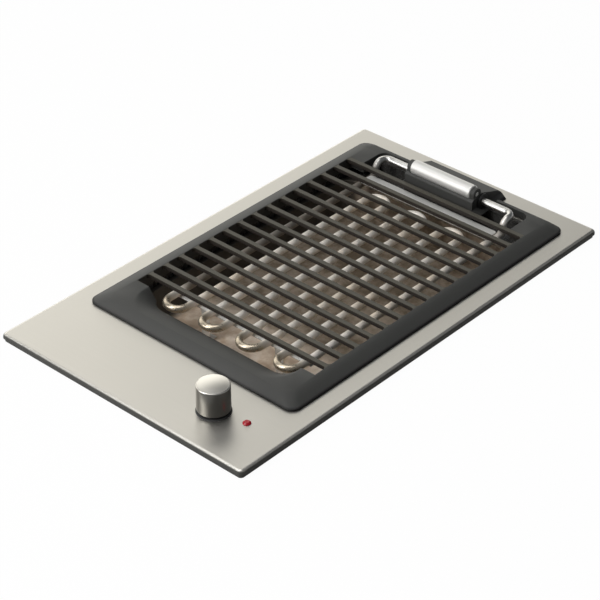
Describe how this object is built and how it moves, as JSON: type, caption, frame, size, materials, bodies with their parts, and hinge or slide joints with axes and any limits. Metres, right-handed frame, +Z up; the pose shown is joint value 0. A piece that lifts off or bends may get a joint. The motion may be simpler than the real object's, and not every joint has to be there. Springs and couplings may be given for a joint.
{
  "type": "electric grill",
  "caption": "Built-in electric barbecue grill module with lift-off cast grate, tilting tube element, drip pan and one control knob.",
  "frame": {"origin": "centre of the casing's base, under the middle of the top plate", "axes": "+Z up, -Y towards the cook, +X to the cook's right"},
  "size_m": [0.3, 0.51, 0.1295],
  "materials": {
    "satin_steel": "satin sheet",
    "polished_steel": "polished",
    "cast_enamel": "matte dark grey coating",
    "tube_sheath": "heat-worn tube",
    "black_enamel": "enamel",
    "galvanised": "zinc coated sheet",
    "seal_foam": "soft closed foam",
    "black_plastic": "moulded",
    "lamp_red": "clear red",
    "lamp_housing": "moulded",
    "brass": "turned",
    "ceramic": "steatite"
  },
  "bodies": {
    "root": {"top_plate": "satin_steel", "plate_seal": "seal_foam", "casing": "galvanised", "bottom_cover": "galvanised", "cover_screws": "galvanised", "grill_well": "black_enamel", "drip_pan": "polished_steel", "terminal_head": "cast_enamel", "head_screws": "galvanised", "pivot_bushes": "polished_steel", "steel_barrel": "polished_steel", "barrel_axle": "polished_steel", "knob_ring": "black_plastic", "energy_regulator": "ceramic", "regulator_tabs": "brass", "regulator_bracket": "galvanised", "regulator_screws": "galvanised", "pilot_lens": "lamp_red", "pilot_lamp": "lamp_housing", "cable_gland": "black_plastic", "gland_nut": "black_plastic", "terminal_block": "lamp_housing", "block_screws": "brass", "thermal_cutout": "ceramic", "cutout_strap": "galvanised", "fixing_clamps": "galvanised", "clamp_screws": "galvanised", "earth_stud": "brass", "earth_nut": "brass"},
    "grate": {"cast_grate": "cast_enamel", "grate_bars": "cast_enamel"},
    "element": {"heating_tube": "tube_sheath", "tube_end_seals": "ceramic", "terminal_studs": "brass", "back_strap": "polished_steel", "front_strap": "polished_steel"},
    "knob": {"control_knob": "satin_steel", "knob_insert": "black_plastic", "regulator_shaft": "brass"}
  },
  "joints": [
    {"name": "grate_lift", "type": "slide", "parent": "root", "child": "grate", "axis": [0, 0, 1], "range_m": [0, 0.45]},
    {"name": "element_tilt", "type": "hinge", "parent": "root", "child": "element", "pos_m": [0, 0.208, 0.11], "axis": [-1, 0, 0], "range_deg": [0, 70.5]},
    {"name": "knob_turn", "type": "hinge", "parent": "root", "child": "knob", "pos_m": [0.0735, -0.208, 0.1], "axis": [0, 0, -1], "range_deg": [0, 290]}
  ],
  "couplings": [
    {"joint": "element_tilt", "follows": "grate_lift", "rad_per_m": 2.715}
  ]
}
